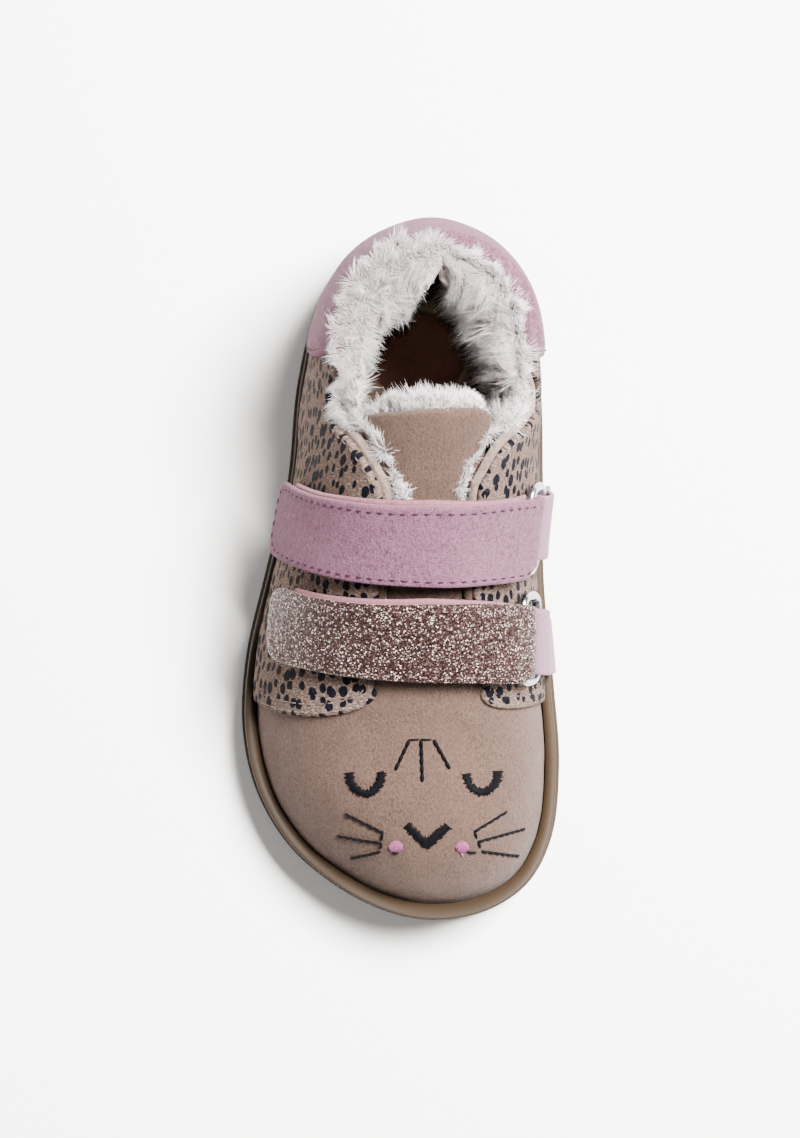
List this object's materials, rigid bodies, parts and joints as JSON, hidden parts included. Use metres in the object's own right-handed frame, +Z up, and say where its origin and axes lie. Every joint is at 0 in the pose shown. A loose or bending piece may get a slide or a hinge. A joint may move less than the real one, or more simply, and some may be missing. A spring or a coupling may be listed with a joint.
{
  "type": "toddler barefoot sneaker, right foot, two straps, fur collar",
  "caption": "Toddler's low barefoot sneaker for the right foot: wide suede toe, fur collar, two straps through metal loops, thin cup sole.",
  "frame": {"origin": "on the floor under the middle of the shoe's box", "axes": "+Y to the heel, -Y to the toe, +X to the inner (big toe) side, +Z up"},
  "size_m": [0.0704, 0.1534, 0.0649],
  "materials": {
    "gum_rubber": "matte",
    "footbed_leather": "matte",
    "beige_suede": "suede",
    "spotted_suede": "suede, printed",
    "pink_suede": "suede",
    "rose_glitter": "glitter",
    "cream_fur": "pile",
    "silver_metal": "polished"
  },
  "bodies": {
    "root": {"outsole": "gum_rubber", "insole": "footbed_leather", "upper": "beige_suede", "quarter_outer": "spotted_suede", "quarter_inner": "spotted_suede", "heel_piece": "pink_suede", "collar_fur": "cream_fur", "tongue": "beige_suede", "tongue_fur": "cream_fur", "loop_upper": "silver_metal", "strap_upper": "pink_suede", "loop_tab_upper": "pink_suede", "loop_lower": "silver_metal", "strap_lower": "rose_glitter", "loop_tab_lower": "rose_glitter"}
  },
  "joints": []
}
